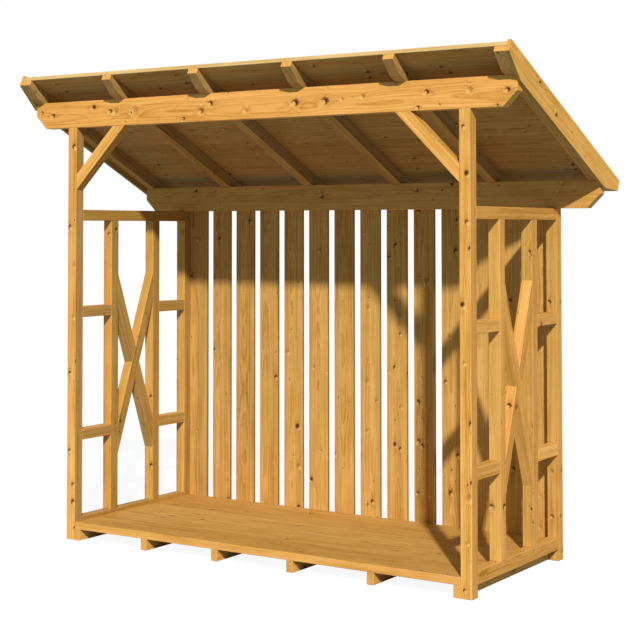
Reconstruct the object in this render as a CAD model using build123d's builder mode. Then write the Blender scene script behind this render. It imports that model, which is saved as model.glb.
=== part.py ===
from build123d import *
import os
from math import cos, radians, sin, sqrt, tan

os.makedirs("parts", exist_ok=True)

# Log store: an open timber frame under a single-pitch roof.
# X runs along the front, Y from the front to the back, Z up.  All sizes in mm.
# The middle of the whole thing, roof included, stands at X = 0, Y = 0.

# ---- timber sections -------------------------------------------------------
post = 58.0             # square timber: posts, rails, studs, noggings and braces
purlin_h = 140.0        # height of the two purlins, which are as thick as a post
rafter_w = 58.0         # width of a rafter
rafter_low = 94.5       # from the roof's top line down to the underside of a rafter, square to the slope
barge_t = 18.0          # thickness of a barge board
barge_h = 119.0         # depth of a barge board, square to the slope
deck_t = 22.0           # thickness of the roof boards
proud = 9.0             # how far the barge boards stand above the roof boards
joist_w = 37.0          # width of a floor joist
joist_h = 58.0          # height of a floor joist
floor_t = 38.0          # thickness of the floor boards
board_t = 17.0          # thickness of the back wall boards

# ---- overall sizes ---------------------------------------------------------
frame_w = 2400.0        # over the outside faces of the posts
frame_d = 1004.0        # from the front faces of the front posts to the back of the rear ones
front_h = 2190.0        # height of the front posts
purlin_over = 230.0     # how far each purlin runs on past the posts
purlin_cut = 69.0       # leg of the slanting cut under each purlin end

# ---- roof ------------------------------------------------------------------
pitch = 24.9            # slope of the roof in degrees
eaves_front = 94.0      # how far the top front edge stands in front of the posts
eaves_back = 161.0      # how far the top rear edge stands behind them
seat = 3.0              # how deep a rafter sits in a purlin, at the purlin's front face
nose = 58.0             # square part left at each end of a rafter or barge board
taper = 160.0           # length of the slanting cut under each end of a barge board
rafter_count = 6
slot_clear = 0.5        # gap at each side of a rafter in its slot in the purlin
seat_clear = 0.1        # gap under a rafter in its slot

# ---- side walls ------------------------------------------------------------
stud_in = 292.0         # from the front of the frame to the first stud
upper_nogging = 1175.0  # underside of the upper noggings
lower_nogging = 522.0   # underside of the lower noggings
cross_low = 412.0       # lowest point of the crossed braces
cross_high = 1400.0     # highest point of the crossed braces
lap_clear = 0.2         # gap all round where one crossed brace is halved over the other

# ---- knee braces -----------------------------------------------------------
knee = 250.0            # short leg of a knee brace, along the post and the purlin

# ---- back wall -------------------------------------------------------------
board_gap = 43.0        # open gap between two back boards
gap_count = 13
board_low = 30.0        # underside of the back boards
board_lap = 68.0        # how far the boards reach up behind the rear purlin
edge_share = 1.21       # reach of the outer gaps from the sides of the frame, as a share of the pitch

# ---- floor -----------------------------------------------------------------
joist_count = 6

# ---- worked out from the sizes above ---------------------------------------
slope = radians(pitch)
rear_h = front_h - (frame_d - post) * tan(slope)
roof_l = (eaves_front + frame_d + eaves_back) / cos(slope)
reach_front = eaves_front + nose * sin(slope)
reach_back = frame_d + eaves_back
front = (reach_front - reach_back) / 2      # Y of the front faces of the posts
back = front + frame_d                      # Y of the back faces of the rear posts
left = -frame_w / 2
right = frame_w / 2
bay_left = left + post
bay_right = right - post
roof_z = front_h + purlin_h - seat + rafter_low / cos(slope) + eaves_front * tan(slope)
purlin_end = frame_w / 2 + purlin_over
rafter_top = proud + deck_t
rafter_taper = taper * (rafter_low - nose) / (barge_h - nose)
rafter_pitch = (2 * purlin_end - rafter_w) / (rafter_count - 1)
joist_pitch = (bay_right - bay_left - joist_w) / (joist_count - 1)
floor_z = joist_h + floor_t
rail_low = joist_h + post    # top of the bottom rail, which is the same square timber
knee_long = knee + post * sqrt(2)
board_pitch = frame_w / (gap_count - 1 + 2 * edge_share)


def roof_plane(x):
    # A plane square to X: its own x runs down the slope from the top front edge, its y outwards.
    edge = (x, front - eaves_front, roof_z)
    return Plane(origin=edge, x_dir=(0, cos(slope), -sin(slope)), z_dir=(1, 0, 0))


def sloping_outline(top, low, cut, extra):
    # Side outline of a rafter or barge board, from top to low under the roof's top line,
    # with a slanting cut this long under each end.
    # The underside lies this much extra below the timber's own.
    return [
        (0, -top),
        (roof_l, -top),
        (roof_l, -nose - extra),
        (roof_l - cut, -low - extra),
        (cut, -low - extra),
        (0, -nose - extra),
    ]


def export(part, name):
    part.label = name
    export_step(part, f"parts/{name}.step")


def bar(x0, x1, y0, y1, z0, z1, name):
    # A square-cut timber between six faces.
    with BuildPart() as timber:
        with Locations(((x0 + x1) / 2, (y0 + y1) / 2, (z0 + z1) / 2)):
            Box(x1 - x0, y1 - y0, z1 - z0)
    export(timber.part, name)


# ---- posts -----------------------------------------------------------------
bar(left, bay_left, front, front + post, 0, front_h, "post_front_left")
bar(bay_right, right, front, front + post, 0, front_h, "post_front_right")
bar(left, bay_left, back - post, back, 0, rear_h, "post_rear_left")
bar(bay_right, right, back - post, back, 0, rear_h, "post_rear_right")

# ---- purlins, slotted on top for the rafters -------------------------------
rafter_x = []
for i in range(rafter_count):
    rafter_x.append(-purlin_end + i * rafter_pitch)


def purlin(y0, z0, name):
    with BuildPart() as beam:
        with BuildSketch(Plane.XZ.offset(-(y0 + post))):
            with BuildLine():
                Polyline(
                    (-purlin_end, z0 + purlin_h),
                    (-purlin_end, z0 + purlin_cut),
                    (-purlin_end + purlin_cut, z0),
                    (purlin_end - purlin_cut, z0),
                    (purlin_end, z0 + purlin_cut),
                    (purlin_end, z0 + purlin_h),
                    close=True,
                )
            make_face()
        extrude(amount=post)
        for x in rafter_x:
            with BuildSketch(roof_plane(x - slot_clear)):
                with BuildLine():
                    Polyline(*sloping_outline(0, rafter_low, rafter_taper, seat_clear), close=True)
                make_face()
            extrude(amount=rafter_w + 2 * slot_clear, mode=Mode.SUBTRACT)
    export(beam.part, name)


purlin(front, front_h, "purlin_front")
purlin(back - post, rear_h, "purlin_rear")


# ---- rafters, barge boards and roof boards ---------------------------------
def sloping(x, width, top, low, cut, name):
    with BuildPart() as timber:
        with BuildSketch(roof_plane(x)):
            with BuildLine():
                Polyline(*sloping_outline(top, low, cut, 0), close=True)
            make_face()
        extrude(amount=width)
    export(timber.part, name)


for i, x in enumerate(rafter_x):
    sloping(x, rafter_w, rafter_top, rafter_low, rafter_taper, f"rafter_{i + 1}")
sloping(-purlin_end - barge_t, barge_t, 0, barge_h, taper, "barge_board_left")
sloping(purlin_end, barge_t, 0, barge_h, taper, "barge_board_right")

with BuildPart() as roof_boards:
    with BuildSketch(roof_plane(-purlin_end)):
        with BuildLine():
            Polyline((0, -proud), (roof_l, -proud), (roof_l, -rafter_top), (0, -rafter_top), close=True)
        make_face()
    extrude(amount=2 * purlin_end)
export(roof_boards.part, "roof_boards")


# ---- knee braces at the two front posts ------------------------------------
def knee_brace(x0, way, name):
    # x0 is the inner face of the post; way is +1 or -1, towards the middle.
    with BuildPart() as brace:
        with BuildSketch(Plane.XZ.offset(-(front + post))):
            with BuildLine():
                Polyline(
                    (x0, front_h - knee),
                    (x0 + way * knee, front_h),
                    (x0 + way * knee_long, front_h),
                    (x0, front_h - knee_long),
                    close=True,
                )
            make_face()
        extrude(amount=post)
    export(brace.part, name)


knee_brace(bay_left, 1, "knee_brace_left")
knee_brace(bay_right, -1, "knee_brace_right")

# ---- floor -----------------------------------------------------------------
for i in range(joist_count):
    x = bay_left + i * joist_pitch
    bar(x, x + joist_w, front, back, 0, joist_h, f"joist_{i + 1}")
bar(bay_left, bay_right, front, back, joist_h, floor_z, "floor_boards")

# ---- side walls ------------------------------------------------------------
wall_front = front + post
wall_back = back - post
stud_1 = front + stud_in
stud_2 = back - stud_in - post
bay_y0 = stud_1 + post
bay_y1 = stud_2
bay_d = bay_y1 - bay_y0
cross_h = cross_high - cross_low

# Rise per mm of the diagonal bar that just fits the bay between the studs.
inside = bay_d**2 - post**2
rise = (cross_h * bay_d - sqrt((cross_h * bay_d) ** 2 - inside * (cross_h**2 - post**2))) / inside
thick_z = post * sqrt(1 + rise**2)


def diagonal(way, extra):
    # Outline of one of the crossed braces in Y and Z, this much extra above and below it.
    # way +1 climbs to the back, -1 to the front.
    middle = (cross_low + cross_high) / 2
    half = rise * bay_d / 2
    z_front = middle - way * half
    z_back = middle + way * half
    deep = thick_z / 2 + extra
    return [
        (bay_y0, z_front - deep),
        (bay_y1, z_back - deep),
        (bay_y1, z_back + deep),
        (bay_y0, z_front + deep),
    ]


def crossed_brace(x0, way, lap_x, name):
    # A brace the full thickness of the wall, halved from lap_x on where the other one crosses it.
    with BuildPart() as brace:
        with BuildSketch(Plane.YZ.offset(x0)):
            with BuildLine():
                Polyline(*diagonal(way, 0), close=True)
            make_face()
        extrude(amount=post)
        with BuildSketch(Plane.YZ.offset(lap_x)):
            with BuildLine():
                Polyline(*diagonal(-way, lap_clear * thick_z / post), close=True)
            make_face()
        extrude(amount=post / 2 + lap_clear, mode=Mode.SUBTRACT)
    export(brace.part, name)


def side_wall(x0, lap_rising, lap_falling, side):
    # The rising brace shows whole on the inside face of the wall, the falling one on the outside.
    x1 = x0 + post
    bar(x0, x1, wall_front, wall_back, rear_h - post, rear_h, f"top_rail_{side}")
    bar(x0, x1, wall_front, wall_back, joist_h, rail_low, f"bottom_rail_{side}")
    bar(x0, x1, stud_1, stud_1 + post, rail_low, rear_h - post, f"stud_front_{side}")
    bar(x0, x1, stud_2, stud_2 + post, rail_low, rear_h - post, f"stud_rear_{side}")
    crossed_brace(x0, 1, lap_rising, f"cross_brace_rising_{side}")
    crossed_brace(x0, -1, lap_falling, f"cross_brace_falling_{side}")
    for z0, level in ((lower_nogging, "low"), (upper_nogging, "high")):
        bar(x0, x1, wall_front, stud_1, z0, z0 + post, f"nogging_front_{level}_{side}")
        bar(x0, x1, stud_2 + post, wall_back, z0, z0 + post, f"nogging_rear_{level}_{side}")


# Each brace is halved on the side of the wall where the other one shows whole.
half = post / 2
side_wall(left, left - lap_clear, left + half - lap_clear, "left")
side_wall(bay_right, bay_right + half, bay_right, "right")

# ---- back wall: upright boards with open gaps, nailed on from behind -------
first_gap = -board_pitch * (gap_count - 1) / 2
board_high = rear_h + board_lap
with BuildPart() as back_boards:
    for i in range(gap_count + 1):
        x0 = first_gap + (i - 1) * board_pitch + board_gap / 2
        x1 = first_gap + i * board_pitch - board_gap / 2
        if i == 0:
            x0 = left + post / 2
        if i == gap_count:
            x1 = right - post / 2
        with Locations(((x0 + x1) / 2, back + board_t / 2, (board_low + board_high) / 2)):
            Box(x1 - x0, board_t, board_high - board_low)
export(back_boards.part, "back_boards")
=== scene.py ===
import math
import random

import bmesh
import bpy
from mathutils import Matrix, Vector


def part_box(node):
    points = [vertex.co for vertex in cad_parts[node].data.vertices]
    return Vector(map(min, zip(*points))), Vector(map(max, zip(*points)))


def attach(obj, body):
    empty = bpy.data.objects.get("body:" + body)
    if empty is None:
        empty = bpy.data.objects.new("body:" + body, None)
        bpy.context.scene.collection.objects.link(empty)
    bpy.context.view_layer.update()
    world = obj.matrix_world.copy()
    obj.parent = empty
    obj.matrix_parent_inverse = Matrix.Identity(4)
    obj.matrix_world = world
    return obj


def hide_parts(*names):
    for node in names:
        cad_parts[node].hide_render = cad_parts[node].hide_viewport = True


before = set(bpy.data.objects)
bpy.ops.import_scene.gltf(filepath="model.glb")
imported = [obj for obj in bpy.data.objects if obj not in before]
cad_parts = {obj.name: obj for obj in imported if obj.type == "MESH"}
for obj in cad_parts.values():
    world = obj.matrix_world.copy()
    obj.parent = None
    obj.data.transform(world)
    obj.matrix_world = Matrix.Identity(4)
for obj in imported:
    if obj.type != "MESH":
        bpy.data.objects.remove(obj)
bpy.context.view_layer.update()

MM = 0.001
PLAIN = (1.0, 1.0, 1.0)
FORWARD = Vector((0, -1, 0))
BACKWARD = Vector((0, 1, 0))
RIGHT = Vector((1, 0, 0))
UP = Vector((0, 0, 1))

# The log store stands with its open front towards -Y; X runs along the front.
# Every timber is the CAD part's own shape with its sharp edges taken off, and
# carries the direction of its grain with it, so that one finish serves them all.

# ---- sizes of the joinery detail, in metres ----------------------------------
EASE_TIMBER = 2.4 * MM      # edges taken off the square timber
EASE_BOARD = 1.2 * MM       # edges taken off the thin boards
EASE_JOINT = 2.6 * MM       # V joint between floor boards and between roof boards
EASE_STEPS = 2              # facets across an eased edge
OPEN_JOINT = 0.4 * MM       # how far those boards stand apart
FLOOR_TRIM = 24 * MM        # strip along the front edge of the floor
FLOOR_COVER = 204 * MM      # cover width of a floor board
FLOOR_LEAST = 50 * MM       # the last floor board is never narrower than this
ROOF_FIRST = 84 * MM        # first roof board, ripped down at the front
ROOF_COVER = 146 * MM       # cover width of a roof board
ROOF_LEAST = 30 * MM        # the last roof board is never narrower than this

# ---- what tells the faces of a timber apart ----------------------------------
SAME_POINT = 0.02 * MM      # corners nearer than this are one corner
FLAT = math.radians(0.5)    # faces that turn less than this are one face
SHARP = 0.2                 # edges that turn more than this are eased, in radians
SQUARE_TO = 0.2             # a side face's normal has less than this along the timber
END_GRAIN = 0.75            # and an end's has more than this
MOSTLY = 0.5                # a face looks a way if its normal has more than this that way
STRAIGHT = 0.99             # and straight that way if it has more than this
ON_THE_CUT = 0.0001 * MM    # corners nearer to a saw cut than this lie on it

# ---- where the heart of the log lies, from a timber's middle, in metres ------
HEART_BEHIND = 0.06             # behind a face with chosen knots
HEART_BESIDE = (0.035, 0.055)   # and to one side of it
HEART_UNDER = (0.035, 0.10)     # over or under a flat sawn board
HEART_OFF = 0.03                # and to either side of its middle
HEART_AWAY = (0.055, 0.10)      # any way from other timbers
LOG_LENGTH = 40.0               # grain starts anywhere within this

# ---- shader building ---------------------------------------------------------


def paint(red, green, blue):
    """An sRGB colour out of 255 as the linear colour that a shader takes."""
    out = []
    for part in (red, green, blue):
        c = part / 255
        out.append(c / 12.92 if c <= 0.04045 else ((c + 0.055) / 1.055) ** 2.4)
    return (*out, 1.0)


class Field:
    """A value or colour that varies over a surface. Sums on it add Math nodes."""

    def __init__(self, finish, socket):
        self.finish = finish
        self.socket = socket

    def sum(self, operation, *others):
        inputs = dict(enumerate((self, *others)))
        return self.finish.add("ShaderNodeMath", {"operation": operation}, inputs)

    def __add__(self, other):
        return self.sum("ADD", other)

    def __sub__(self, other):
        return self.sum("SUBTRACT", other)

    def __mul__(self, other):
        return self.sum("MULTIPLY", other)

    def __truediv__(self, other):
        return self.sum("DIVIDE", other)

    def __radd__(self, other):
        return self.sum("ADD", other)

    def __rmul__(self, other):
        return self.sum("MULTIPLY", other)

    def __rsub__(self, other):
        return self.finish.add("ShaderNodeMath", {"operation": "SUBTRACT"}, {0: other, 1: self})

    def __rtruediv__(self, other):
        return self.finish.add("ShaderNodeMath", {"operation": "DIVIDE"}, {0: other, 1: self})

    def root(self):
        return self.sum("SQRT")

    def size(self):
        return self.sum("ABSOLUTE")

    def part(self):
        return self.sum("FRACT")

    def above(self, limit):
        return self.sum("GREATER_THAN", limit)

    def bell(self, width):
        """1 where the value is 0, falling away to nothing at about twice the width."""
        ratio = self / width
        return (ratio * ratio * -1.0).sum("EXPONENT")

    def rise(self, start, stop):
        """0 before start, 1 after stop, with a smooth step between them."""
        return self.finish.add(
            "ShaderNodeMapRange",
            {"interpolation_type": "SMOOTHSTEP"},
            {"Value": self, "From Min": start, "From Max": stop},
        )


class Finish:
    """The nodes of one material, or of the world, built one by one."""

    def __init__(self, owner):
        self.owner = owner
        self.owner.use_nodes = True
        self.tree = self.owner.node_tree
        self.tree.nodes.clear()

    def node(self, kind, settings=None, inputs=None):
        made = self.tree.nodes.new(kind)
        for key, value in (settings or {}).items():
            if key == "stops":
                ramp = made.color_ramp
                while len(ramp.elements) < len(value):
                    ramp.elements.new(1.0)
                for element, (place, colour) in zip(ramp.elements, value):
                    element.position = place
                    element.color = colour
            else:
                setattr(made, key, value)
        for key, value in (inputs or {}).items():
            if isinstance(value, Field):
                self.tree.links.new(value.socket, made.inputs[key])
            else:
                made.inputs[key].default_value = value
        return made

    def add(self, kind, settings=None, inputs=None, output=0):
        return Field(self, self.node(kind, settings, inputs).outputs[output])

    def parts(self, vector):
        made = self.node("ShaderNodeSeparateXYZ", None, {0: vector})
        return [Field(self, made.outputs[i]) for i in range(3)]

    def join(self, x, y, z=0.0):
        return self.add("ShaderNodeCombineXYZ", None, {0: x, 1: y, 2: z})

    def read(self, name, output="Fac"):
        return self.add("ShaderNodeAttribute", {"attribute_name": name}, None, output)

    def noise(self, vector, scale, detail=2.0, rough=0.5, output="Fac"):
        return self.add(
            "ShaderNodeTexNoise",
            None,
            {"Vector": vector, "Scale": scale, "Detail": detail, "Roughness": rough},
            output,
        )

    def blend(self, amount, first, second, mode="MIX"):
        return self.add(
            "ShaderNodeMix",
            {"data_type": "RGBA", "blend_type": mode},
            {0: amount, 6: first, 7: second},
            2,
        )

    def surface(self, shader, kind="ShaderNodeOutputMaterial"):
        self.node(kind, None, {"Surface": shader})
        return self.owner


RED_KNOT = paint(172, 98, 42)
KNOT_RIM = paint(112, 58, 22)
LOOSE_KNOT = paint(52, 24, 8)
GLOSS = 0.05        # the glaze is nearly dull
RING = 4.0 * MM     # a year's growth


def glazed_spruce(name, body, knot_share=0.36, knot_most=10.0 * MM, figure=1.0, edge_highlight_and_wear=40):
    """Planed spruce under a honey glaze, of one body colour. The grain attribute is a
    place in the log: metres along the heart, then across from it both ways. Figure is
    how strong the grain is, and the last argument how much paler the eased edges are:
    partly wear, partly a painted highlight along them; below 0 they are darker, as V joints."""
    wood = Finish(bpy.data.materials.new(name))
    place = wood.read("grain", "Vector")
    facing = wood.read("facing", "Vector")
    tint = wood.read("tint")
    end = wood.read("end")
    edge = wood.read("edge")
    glaze = wood.read("glaze", "Vector")
    along, deep, wide = wood.parts(place)
    face_deep, face_wide = wood.parts(facing)[1:]

    def shade(step):
        """The body colour made lighter or darker by this much in every channel."""
        return paint(*(min(250, max(4, c + step)) for c in body))

    # The heart wanders a little along the log, slowly and then in small ripples.
    drift = wood.noise(wood.join(along * 1.4, deep * 5.0, wide * 5.0), 1.0, 2.0, 0.5, "Color")
    drift_a, drift_b = wood.parts(drift)[:2]
    ripple = wood.noise(wood.join(along * 7.0, deep * 14.0, wide * 14.0), 1.0, 2.0, 0.5) - 0.5
    heart_a = deep + (drift_a - 0.5) * 30 * MM + ripple * 7 * MM
    heart_b = wide + (drift_b - 0.5) * 30 * MM - ripple * 6 * MM
    radius = (heart_a * heart_a + heart_b * heart_b).root()
    angle = heart_b.sum("ARCTAN2", heart_a)
    square_on = ((heart_a * face_deep + heart_b * face_wide) / radius).size().rise(0.45, 0.75)

    # Branches leave the heart like spokes, and a knot is where a face cuts one across.
    def branches(step, turn, share, least, most):
        cell = wood.node(
            "ShaderNodeTexVoronoi",
            {"voronoi_dimensions": "2D", "feature": "F1"},
            {"Vector": wood.join(along / step, angle / turn), "Scale": 1.0, "Randomness": 0.9},
        )
        spot_along, spot_angle = wood.parts(Field(wood, cell.outputs["Position"]))[:2]
        dice_size, dice_there, dice_tone = wood.parts(Field(wood, cell.outputs["Color"]))
        there = dice_there.above(1.0 - share) * square_on
        size = dice_size * dice_size * (most - least) + least
        return (along - spot_along * step, (angle - spot_angle * turn) * radius, size, there, dice_tone)

    # One knot of chosen place, size and look may be written onto a face as well.
    def chosen():
        spot_along, spot_deep, spot_wide = wood.parts(wood.read("knot_place", "Vector"))
        size = wood.read("knot_size")
        off_across = (wide - spot_wide) * face_deep - (deep - spot_deep) * face_wide
        there = size.above(0.5 * MM)
        return (along - spot_along, off_across, size.sum("MAXIMUM", MM), there, wood.read("knot_look"))

    ragged = wood.noise(place, 110.0, 2.0) - 0.5
    swell = 0.0
    dark_core = 0.0
    red_core = 0.0
    rim = 0.0
    stain = 0.0
    painted_knot_highlight = 0.0
    for off_along, off_across, size, there, look in (
        branches(step=0.21, turn=0.55, share=knot_share, least=3.0 * MM, most=knot_most),
        branches(step=0.093, turn=0.33, share=0.09, least=1.6 * MM, most=3.6 * MM),
        chosen(),
    ):
        # A look near 1 is a dark loose knot; near 0 it is sound, red, and hardly stands out.
        loose = look.rise(0.25, 0.60)
        span = (off_along * off_along * 0.7 + off_across * off_across).root()
        near = span / size + ragged * 0.6
        core = (1.0 - near.rise(0.55, 1.00)) * there
        # All but the darkest are bitten into a crescent by the painted highlight beside them.
        bite_along = off_along + size * 0.65
        bite_across = off_across - size * 0.45
        bite = (bite_along * bite_along + bite_across * bite_across).root() / size
        left = bite.rise(0.55, 0.95).sum("MAXIMUM", look.rise(0.90, 0.97))
        dark_core = dark_core + core * loose * left
        red_core = red_core + core * (1.0 - loose)
        rim = rim + (near - 1.0).bell(0.26) * there * (loose * 0.65 + 0.35) * (left * 0.85 + 0.15)
        drawn = (off_along * off_along * 0.10 + off_across * off_across).root() / size
        stain = stain + drawn.bell(1.35) * there * (loose * 0.6 + 0.4)
        # A painted highlight beside each knot, on the same side of every knot.
        low = (off_along + size * 1.15) / (size * 1.25)
        aside = (off_across - size * 0.75) / (size * 1.15)
        painted_knot_highlight = painted_knot_highlight + (low * low + aside * aside).root().bell(0.85) * there
        swell = swell + (span / size).bell(2.1) * size * there * 0.50

    # Growth rings, drawn out round each knot; late wood is the dark narrow part.
    spread = wood.noise(wood.join(along * 0.35, radius * 50.0, tint * 7.0), 1.0, 1.0)
    years = (radius + swell) / RING + spread * 2.2
    phase = years.part()
    late_wood = phase.rise(0.30, 0.92) * (1.0 - phase.rise(0.93, 1.0))
    decade = wood.noise(wood.join(along * 0.5, years * 0.34, tint * 9.0), 1.0, 2.5, 0.6) - 0.5
    strong = wood.noise(wood.join(along * 0.8, years * 0.9, tint * 5.0), 1.0, 1.0)

    fibre = wood.noise(wood.join(along * 9.0, deep * 420.0, wide * 420.0), 1.0, 3.0, 0.6) - 0.5
    streak = wood.noise(wood.join(along * 1.6, deep * 95.0, wide * 95.0), 1.0, 3.0, 0.6) - 0.5
    fleck = wood.noise(wood.join(along * 5.0, deep * 170.0, wide * 170.0), 1.0, 2.0, 0.5).rise(0.60, 0.72)
    patch = wood.noise(wood.join(along * 4.5, deep * 14.0, wide * 14.0), 1.0, 2.0, 0.5) - 0.5

    # One scale from dark to pale drives the colour; 0.5 is the plain body colour.
    level = (
        decade * 1.10 * figure
        + streak * 0.85 * figure
        + patch * 0.60
        + fibre * 0.35
        + (tint - 0.5) * 0.14
        - late_wood * strong * 0.55 * figure
        + (0.5 + 0.20 * figure)
    )
    tone = wood.add(
        "ShaderNodeValToRGB",
        {"stops": [(0.0, shade(-46)), (0.28, shade(-18)), (0.5, shade(0)), (1.0, shade(24))]},
        {0: level},
    )
    tone = wood.blend(fleck * 0.30 * figure, tone, shade(-62))
    tone = wood.blend(stain * 0.45, tone, shade(-58))
    # The painted highlight beside the knots.
    tone = wood.blend(painted_knot_highlight * 0.80, tone, shade(42))
    tone = wood.blend(red_core * 0.50, tone, RED_KNOT)
    tone = wood.blend(rim * 0.80, tone, KNOT_RIM)
    tone = wood.blend(dark_core * 0.95, tone, LOOSE_KNOT)
    # End grain drinks more glaze. Eased edges are paler, partly worn and partly a painted highlight, and
    # V joints hold more.
    tone = wood.blend(end * 0.20, tone, shade(-20))
    tone = wood.blend(edge * (patch * 0.8 + 0.6), tone, shade(edge_highlight_and_wear))
    # Each face's tone, by timber and by the way it looks, multiplies the colour: partly the timber's own
    # tone, partly painted light and shade.
    tone = wood.blend(1.0, tone, glaze, "MULTIPLY")

    rough = fibre * 0.14 - late_wood * 0.08 + end * 0.15 - dark_core * 0.12 + 0.68
    relief = fibre * 0.25 + late_wood * 0.35 + red_core * 0.8 - dark_core * 0.8 + streak * 0.5
    normal = wood.add(
        "ShaderNodeBump", None, {"Strength": 0.35, "Distance": 0.6 * MM, "Height": relief}
    )
    body_shader = wood.add(
        "ShaderNodeBsdfPrincipled",
        None,
        {"Base Color": tone, "Roughness": rough, "Normal": normal, "Specular IOR Level": GLOSS},
    )
    return wood.surface(body_shader)


# ---- the timbers -------------------------------------------------------------


def solids(mesh):
    """The separate solids of a CAD node, each as its own bmesh with flat faces whole."""
    whole = bmesh.new()
    whole.from_mesh(mesh)
    bmesh.ops.remove_doubles(whole, verts=whole.verts, dist=SAME_POINT)
    bmesh.ops.dissolve_limit(whole, angle_limit=FLAT, verts=whole.verts, edges=whole.edges)
    left = set(whole.verts)
    found = []
    while left:
        start = min(left, key=lambda v: v.index)
        group, queue = {start}, [start]
        while queue:
            v = queue.pop()
            for e in v.link_edges:
                w = e.other_vert(v)
                if w not in group:
                    group.add(w)
                    queue.append(w)
        left -= group
        one = bmesh.new()
        order = sorted(group, key=lambda v: v.index)
        copies = {v: one.verts.new(v.co) for v in order}
        faces = {f for v in order for f in v.link_faces}
        for f in sorted(faces, key=lambda f: f.index):
            one.faces.new([copies[v] for v in f.verts])
        one.normal_update()
        found.append(one)
    whole.free()
    return found


def grain_axes(timber):
    """Unit vectors along the timber, square to its widest face, and across that face."""
    timber.normal_update()
    longest = max(timber.edges, key=lambda e: round(e.calc_length(), 6))
    along = (longest.verts[1].co - longest.verts[0].co).normalized()
    if max(along, key=abs) < 0:
        along.negate()
    sides = {}
    for f in timber.faces:
        if abs(f.normal.dot(along)) < SQUARE_TO:
            key = tuple(round(abs(c), 2) for c in f.normal)
            area, normal = sides.get(key, (0.0, f.normal.copy()))
            sides[key] = (area + f.calc_area(), normal)
    face = max(sides.values(), key=lambda s: round(s[0], 5))[1]
    deep = (face - along * face.dot(along)).normalized()
    return along, deep, along.cross(deep).normalized()


def part_round_knots(timber, along, knots):
    """Cuts a timber's faces across, halfway between each knot and the next."""
    places = sorted(point.dot(along) for point, size, look in knots)
    for first, second in zip(places[:-1], places[1:]):
        bmesh.ops.bisect_plane(
            timber,
            geom=timber.verts[:] + timber.edges[:] + timber.faces[:],
            plane_co=along * (first + second) / 2,
            plane_no=along,
            dist=ON_THE_CUT,
        )


def ease_and_mark(timber, ease, dice, flat_sawn, tone_and_light_on, axes=None, marks=None):
    """Takes the sharp edges off a timber and writes its grain onto it, and each face's tone, partly
    painted light and shade.
    """
    along, deep, wide = axes or grain_axes(timber)
    if marks:
        part_round_knots(timber, along, marks[1])
    middle = sum((v.co for v in timber.verts), Vector()) / len(timber.verts)
    sharp = [e for e in timber.edges if len(e.link_faces) == 2 and e.calc_face_angle(0.0) > SHARP]
    made = bmesh.ops.bevel(
        timber,
        geom=sharp,
        offset=ease,
        offset_type="OFFSET",
        segments=EASE_STEPS,
        profile=0.5,
        affect="EDGES",
        clamp_overlap=False,
        material=-1,
    )
    rounded = set(made["faces"])
    timber.normal_update()
    grain = timber.verts.layers.float_vector.new("grain")
    tint = timber.verts.layers.float.new("tint")
    end = timber.faces.layers.float.new("end")
    edge = timber.faces.layers.float.new("edge")
    facing = timber.faces.layers.float_vector.new("facing")
    glaze = timber.faces.layers.float_vector.new("glaze")
    knot_place = timber.faces.layers.float_vector.new("knot_place")
    knot_size = timber.faces.layers.float.new("knot_size")
    knot_look = timber.faces.layers.float.new("knot_look")

    # Where the heart of the log lies, seen from the middle of this timber.
    if marks:
        # Sawn with the heart behind the face that carries the chosen knots, and to one side.
        beside = along.cross(marks[0]) * dice.uniform(*HEART_BESIDE)
        to_heart = beside - marks[0] * HEART_BEHIND
        heart_deep, heart_wide = to_heart.dot(deep), to_heart.dot(wide)
    elif flat_sawn:
        heart_deep = dice.uniform(*HEART_UNDER) * dice.choice((-1, 1))
        heart_wide = dice.uniform(-HEART_OFF, HEART_OFF)
    else:
        way = dice.uniform(0, 2 * math.pi)
        far = dice.uniform(*HEART_AWAY)
        heart_deep, heart_wide = far * math.cos(way), far * math.sin(way)
    heart = deep * heart_deep + wide * heart_wide
    out = -heart.normalized()
    side = along.cross(out)
    shift = dice.uniform(0.0, LOG_LENGTH)
    shade = dice.random()

    def in_the_log(point):
        p = point - middle - heart
        return Vector((p.dot(along) + shift, p.dot(out), p.dot(side)))

    for v in timber.verts:
        v[grain] = in_the_log(v.co)
        v[tint] = shade
    for f in timber.faces:
        f[end] = 1.0 if abs(f.normal.dot(along)) > END_GRAIN else 0.0
        f[edge] = 1.0 if f in rounded else 0.0
        f[glaze] = Vector(tone_and_light_on(f.normal))
        f[facing] = Vector((f.normal.dot(along), f.normal.dot(out), f.normal.dot(side)))
        if marks and f.normal.dot(marks[0]) > STRAIGHT:
            here = f.calc_center_median().dot(along)
            point, size, look = min(marks[1], key=lambda knot: abs(knot[0].dot(along) - here))
            f[knot_place] = in_the_log(point)
            f[knot_size] = size
            f[knot_look] = look
    return timber


def merge(timbers):
    """Several marked timbers as the one mesh of a piece."""
    mesh_parts = []
    for one in timbers:
        part = bpy.data.meshes.new("part")
        one.to_mesh(part)
        one.free()
        mesh_parts.append(part)
    whole = bmesh.new()
    for part in mesh_parts:
        whole.from_mesh(part)
        bpy.data.meshes.remove(part)
    return whole


def add_piece(node, timbers, finish):
    """Timbers as one piece in place of a CAD node."""
    name = "planed_" + node
    whole = merge(timbers)
    mesh = bpy.data.meshes.new(name)
    whole.to_mesh(mesh)
    whole.free()
    mesh.materials.append(finish)
    piece = bpy.data.objects.new(name, mesh)
    bpy.context.scene.collection.objects.link(piece)
    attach(piece, "root")
    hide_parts(node)


def slice_into_boards(slab, direction, cuts):
    """Boards from a slab, cut across a direction, with open joints between them."""
    half = OPEN_JOINT / 2
    for i, (start, stop) in enumerate(zip(cuts[:-1], cuts[1:])):
        first, last = i == 0, i == len(cuts) - 2
        yield slice_slab(slab, direction, None if first else start + half, None if last else stop - half)


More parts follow.
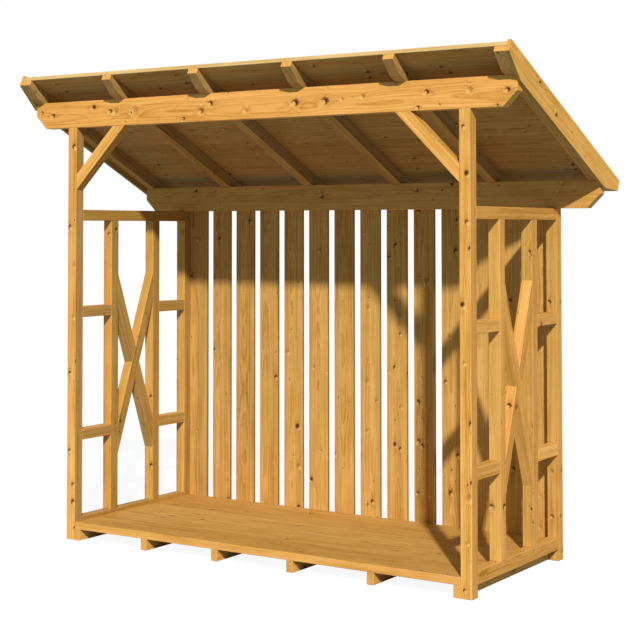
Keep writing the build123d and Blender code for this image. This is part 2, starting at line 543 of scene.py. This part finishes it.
def slice_slab(slab, direction, start, stop):
    """The part of a slab between two distances along a direction, closed again."""
    board = slab.copy()
    for place, normal in ((start, -direction), (stop, direction)):
        if place is None:
            continue
        bmesh.ops.bisect_plane(
            board,
            geom=board.verts[:] + board.edges[:] + board.faces[:],
            plane_co=direction * place,
            plane_no=normal,
            clear_outer=True,
            dist=ON_THE_CUT,
        )
        open_edges = [e for e in board.edges if len(e.link_faces) == 1]
        bmesh.ops.holes_fill(board, edges=open_edges, sides=0)
    bmesh.ops.recalc_face_normals(board, faces=board.faces)
    board.normal_update()
    return board


# ---- finishes ----------------------------------------------------------------
timber_finish = glazed_spruce("honey_glazed_timber", (222, 160, 80))
board_finish = glazed_spruce(
    "honey_glazed_back_boards", (198, 148, 74), knot_share=0.30, knot_most=11.0 * MM
)
floor_finish = glazed_spruce("honey_glazed_floor", (194, 144, 70), figure=0.6, edge_highlight_and_wear=-40)
# The roof boards' darker body colour is partly painted shade, for their shaded underside.
roof_finish = glazed_spruce("honey_glazed_roof_boards", (180, 133, 66), figure=0.7, edge_highlight_and_wear=-60)
barge_finish = glazed_spruce("honey_glazed_barge_boards", (222, 163, 80))

# Tones of single faces, in red, green and blue against the plain finish. Each is partly the
# timbers' own tone and partly painted light and shade, set by the way a face looks: the deep
# ones are not glaze alone, part of them is painted shade that those faces stand in, and the
# lighter ones brighten sunlit faces.
PALE = (1.05, 1.05, 1.00)
AMBER = (1.00, 0.95, 0.85)
HONEY = (0.95, 0.90, 0.80)
UMBER = (0.85, 0.80, 0.70)
STRAW = (1.10, 1.10, 1.10)
DULL = (0.85, 0.90, 0.85)
DULLER = (0.80, 0.85, 0.80)
DEEP = (0.55, 0.65, 0.65)
DEEP_BROWN = (0.55, 0.60, 0.50)
DEEP_GREY = (0.60, 0.70, 0.85)
DARKEST = (0.40, 0.50, 0.60)

# Each timber's tone on the faces that look forward, and on those that look right, with its
# painted light and shade. The first name that a timber's own name starts with holds.
TONES = (
    ("post_front_right", PALE, UMBER),
    ("post_front_left", PALE, DEEP_GREY),
    ("post_rear_left", DULLER, DEEP),
    ("post_rear_right", DULLER, HONEY),
    ("purlin_front", AMBER, AMBER),
    ("purlin_rear", DULL, PLAIN),
    ("stud_front_left", UMBER, DEEP),
    ("stud_rear_left", DULLER, DEEP_BROWN),
    ("stud_rear_right", DULLER, UMBER),
    ("knee_brace", STRAW, DULLER),
    ("bottom_rail_left", PLAIN, DEEP_BROWN),
    ("bottom_rail_right", PLAIN, UMBER),
    ("top_rail_left", PLAIN, DEEP_BROWN),
    ("top_rail_right", PLAIN, UMBER),
    ("nogging_front_high_left", PLAIN, DEEP_GREY),
    ("nogging_front_low_left", PLAIN, DEEP_GREY),
    ("nogging_rear_high_right", PLAIN, PLAIN),
    ("nogging_rear_low_right", PLAIN, STRAW),
    ("cross_brace_falling_left", DEEP_GREY, DEEP),
    ("cross_brace_rising_right", PLAIN, UMBER),
)
LEFT_WALL = (DULL, DEEP)
RIGHT_WALL = (DULL, HONEY)
# Painted shade: on the barge boards' inner sides and undersides, on the right sides of the back boards,
# and on the rafters, deepest along their right sides.
BARGE_INSIDE = DEEP
BOARD_SIDE = (0.60, 0.60, 0.60)
RAFTER_SIDE = (0.55, 0.65, 0.80)
RAFTER_UNDER = (0.70, 0.75, 0.80)

# The front face of the first floor board is lighter than the rest of the floor. That of the
# first roof board is painted light: the sunlit front edge lit up against the roof boards'
# darker body colour.
FLOOR_EDGE = (1.40, 1.30, 1.40)
ROOF_EDGE = (1.40, 1.75, 2.75)

# The back wall is deeper at its left end, and plain from this many metres on.
BOARD_AT_LEFT = 0.88
BOARD_FADE = 1.0


def looks(normal, way):
    """Whether a face with this normal looks mostly this way."""
    return normal.dot(way) > MOSTLY


def rafter_tone_and_shade(normal):
    """Rafters are plain at their front ends, with painted shade elsewhere: deep along their right sides
    and dull on the rest.
    """
    if looks(normal, RIGHT):
        return RAFTER_SIDE
    return PLAIN if looks(normal, FORWARD) and not looks(normal, -UP) else RAFTER_UNDER


def barge_tone_and_shade(name):
    """A barge board is amber, but has painted shade on its inner side and underneath."""
    inside = RIGHT if name.endswith("_left") else -RIGHT
    return lambda normal: BARGE_INSIDE if looks(normal, inside) or looks(normal, -UP) else AMBER


def tone_and_light_for(name):
    """The tone of a timber's faces, partly painted light and shade, as a function of the way that a face
    looks.
    """
    forward, right = PLAIN, PLAIN
    if name.endswith("_left"):
        forward, right = LEFT_WALL
    if name.endswith("_right"):
        forward, right = RIGHT_WALL
    for start, on_front, on_right in TONES:
        if name.startswith(start):
            forward, right = on_front, on_right
            break
    if name.startswith("rafter"):
        return rafter_tone_and_shade
    if name.startswith("barge"):
        return barge_tone_and_shade(name)
    # Painted shade on the tops of rails and noggings, deeper on the top of the front purlin under the
    # roof and on the top of the left bottom rail.
    top = DULL if "rail" in name or "nogging" in name else PLAIN
    top = DARKEST if name == "purlin_front" else top
    top = DEEP_GREY if name == "bottom_rail_left" else top
    ways = ((FORWARD, forward), (RIGHT, right), (UP, top))
    return lambda normal: next((tone for way, tone in ways if looks(normal, way)), PLAIN)


def front_edge_tone_and_light(tone):
    """A tone for the front edge of a board, which is plain elsewhere."""
    return lambda normal: tone if looks(normal, FORWARD) else PLAIN


def board_tone_and_shade(place):
    """Back boards are deeper towards the left of the wall, and have painted shade on their right sides.
    """
    from_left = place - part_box("post_front_left")[0].x
    body = min(1.0, BOARD_AT_LEFT + (1.0 - BOARD_AT_LEFT) * from_left / BOARD_FADE)
    return lambda normal: BOARD_SIDE if looks(normal, RIGHT) else (body, body, body)


# The knots that show most, on the faces that look forward: millimetres from the middle
# of the purlin or up from the foot of a post, off the timber's middle line, and in
# radius, then the look.
KNOTS = {
    "purlin_front": (
        (-1390, 20, 7, 0.5), (-1310, 0, 10, 0.6), (-1020, 35, 10, 1.0), (-870, 10, 14, 0.3),
        (-740, 10, 16, 0.1), (-420, -50, 7, 0.8), (-310, -15, 12, 0.5), (-250, 20, 11, 0.9),
        (-30, -25, 10, 0.2), (260, 0, 15, 0.8), (430, 0, 15, 0.8), (640, 12, 9, 0.35),
        (980, 15, 10, 0.8), (1200, 15, 10, 0.35), (1385, 5, 10, 0.8),
    ),
    "post_front_right": (
        (40, -10, 6, 0.7), (250, 5, 7, 0.2), (450, 14, 12, 0.3), (780, 25, 9, 0.9),
        (1050, -8, 7, 0.3), (1310, -15, 10, 1.0), (1560, 24, 8, 0.8), (1680, 8, 8, 0.7),
        (1900, 8, 10, 1.0), (2110, -8, 7, 0.7),
    ),
    "post_front_left": (
        (200, 14, 11, 0.8), (470, -12, 7, 0.8), (880, -12, 8, 0.9), (1180, 10, 8, 0.25),
        (1460, 18, 12, 0.3), (1660, -16, 9, 0.9), (2090, 12, 11, 0.8),
    ),
}


def chosen_knots(name, timber):
    """The face that carries a timber's chosen knots, and each knot's place on it."""
    if name not in KNOTS:
        return None
    low = Vector([min(v.co[i] for v in timber.verts) for i in range(3)])
    high = Vector([max(v.co[i] for v in timber.verts) for i in range(3)])
    middle = (low + high) / 2
    places = []
    for along, off, radius, look in KNOTS[name]:
        if name.startswith("purlin"):
            point = Vector((along * MM, low.y, middle.z + off * MM))
        else:
            point = Vector((middle.x + off * MM, low.y, along * MM))
        places.append((point, radius * MM, look))
    return FORWARD, places


# ---- the pieces --------------------------------------------------------------


def add_timber(node):
    """A single timber, or a barge board, with its own grain, and face tones that are partly painted light
    and shade.
    """
    dice = random.Random("timber " + node)
    thin = node.startswith("barge")
    ease = EASE_BOARD if thin else EASE_TIMBER
    cut = []
    for solid in solids(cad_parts[node].data):
        marks = chosen_knots(node, solid)
        cut.append(ease_and_mark(solid, ease, dice, thin, tone_and_light_for(node), marks=marks))
    if thin:
        add_piece(node, cut, barge_finish)
    else:
        add_piece(node, cut, timber_finish)


def add_back_wall():
    dice = random.Random("back wall")
    boards = []
    for solid in solids(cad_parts["back_boards"].data):
        place = sum(v.co.x for v in solid.verts) / len(solid.verts)
        boards.append(ease_and_mark(solid, EASE_BOARD, dice, True, board_tone_and_shade(place)))
    add_piece("back_boards", boards, board_finish)


def board_cuts(start, first, cover, least, stop):
    """Where a slab's boards meet: a first board, full ones, and the last ripped to fit."""
    cuts = [start, start + first]
    while cuts[-1] + cover < stop - least:
        cuts.append(cuts[-1] + cover)
    return cuts + [stop]


def add_boards(node, slab, direction, cuts, axes, edge_tone, finish, dice):
    """A slab's boards as one piece; the first one's front edge has a tone of its own."""
    boards = []
    for board in slice_into_boards(slab, direction, cuts):
        front = front_edge_tone_and_light(PLAIN if boards else edge_tone)
        boards.append(ease_and_mark(board, EASE_JOINT, dice, True, front, axes))
    add_piece(node, boards, finish)
    slab.free()


def add_floor():
    """A strip along the front edge, then boards from side to side."""
    slab = solids(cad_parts["floor_boards"].data)[0]
    low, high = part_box("floor_boards")
    cuts = board_cuts(low.y, FLOOR_TRIM, FLOOR_COVER, FLOOR_LEAST, high.y)
    axes = (RIGHT, UP, FORWARD)
    dice = random.Random("floor")
    add_boards("floor_boards", slab, BACKWARD, cuts, axes, FLOOR_EDGE, floor_finish, dice)


def add_roof():
    """Boards along the front edge, lying side by side down the slope."""
    slab = solids(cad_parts["roof_boards"].data)[0]
    slope_edge = max(
        (e for e in slab.edges if abs(e.verts[0].co.x - e.verts[1].co.x) < 0.1 * MM),
        key=lambda e: e.calc_length(),
    )
    down = (slope_edge.verts[1].co - slope_edge.verts[0].co).normalized()
    if down.z > 0:
        down.negate()
    reach = sorted(v.co.dot(down) for v in slab.verts)
    cuts = board_cuts(reach[0], ROOF_FIRST, ROOF_COVER, ROOF_LEAST, reach[-1])
    axes = (RIGHT, RIGHT.cross(down).normalized(), down)
    dice = random.Random("roof")
    add_boards("roof_boards", slab, down, cuts, axes, ROOF_EDGE, roof_finish, dice)


for node in sorted(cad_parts):
    if node not in ("back_boards", "floor_boards", "roof_boards"):
        add_timber(node)
add_back_wall()
add_floor()
add_roof()

# ---- floor, background, light and camera --------------------------------------
LIGHT = 3.8                 # sun strength
SKY = (0.22, 0.27, 0.27)    # even light from all round
BOUNCE = (0.32, 0.41, 0.50)  # share of the light that the ground sends back up
SUN_TO = Vector((0.745, -1.0, 0.855)).normalized()
SUN_SPREAD = 2.1            # degrees across
GROUND_REACH = 60.0         # metres from the middle to the ground's sides
GROUND_SHOWN = 0.10         # how much shadow the ground shows
GROUND_GLOW = 0.925         # and how bright it is before light falls on it


def seen_directly(finish):
    """1 for a ray that shows the background itself or a reflection of it, else 0."""
    kinds = finish.node("ShaderNodeLightPath")
    camera = Field(finish, kinds.outputs["Is Camera Ray"])
    glossy = Field(finish, kinds.outputs["Is Glossy Ray"])
    through = Field(finish, kinds.outputs["Is Transmission Ray"])
    return (camera + glossy + through).sum("MINIMUM", 1.0)


def pale_ground():
    ground = Finish(bpy.data.materials.new("pale_ground"))
    plain = ground.add("ShaderNodeBsdfDiffuse", None, {"Color": (*BOUNCE, 1)})
    soft = ground.add("ShaderNodeBsdfDiffuse", None, {"Color": (GROUND_SHOWN,) * 3 + (1,)})
    glow = ground.add("ShaderNodeEmission", None, {"Color": (1, 1, 1, 1), "Strength": GROUND_GLOW})
    shown = ground.add("ShaderNodeAddShader", None, {0: soft, 1: glow})
    return ground.surface(
        ground.add("ShaderNodeMixShader", None, {0: seen_directly(ground), 1: plain, 2: shown})
    )


sheet = bmesh.new()
bmesh.ops.create_grid(sheet, x_segments=1, y_segments=1, size=GROUND_REACH)
mesh = bpy.data.meshes.new("studio_floor")
sheet.to_mesh(mesh)
sheet.free()
mesh.materials.append(pale_ground())
ground = bpy.data.objects.new("studio_floor", mesh)
bpy.context.scene.collection.objects.link(ground)

studio = Finish(bpy.data.worlds.new("studio"))
lit = studio.add("ShaderNodeBackground", None, {"Color": (*SKY, 1), "Strength": 1.0})
white = studio.add("ShaderNodeBackground", None, {"Color": (1, 1, 1, 1), "Strength": 1.0})
mixed = studio.add("ShaderNodeMixShader", None, {0: seen_directly(studio), 1: lit, 2: white})
bpy.context.scene.world = studio.surface(mixed, "ShaderNodeOutputWorld")

lamp = bpy.data.lights.new("key_light", "SUN")
lamp.energy = LIGHT
lamp.angle = math.radians(SUN_SPREAD)
key = bpy.data.objects.new("key_light", lamp)
key.rotation_euler = SUN_TO.to_track_quat("Z", "Y").to_euler()
bpy.context.scene.collection.objects.link(key)

# From the front right, at eye height, through a long lens.
camera = bpy.data.cameras.new("camera")
camera.lens = 84.27
camera.sensor_width = 36.0
camera.shift_x = 0.0469
camera.shift_y = -0.2232
camera.clip_end = 200.0
eye = bpy.data.objects.new("camera", camera)
eye.location = (4.2402, -6.5547, 1.6489)
eye.rotation_euler = (math.radians(91.972), 0.0, math.radians(33.628))
bpy.context.scene.collection.objects.link(eye)
bpy.context.scene.camera = eye
bpy.context.scene.view_settings.view_transform = "Standard"
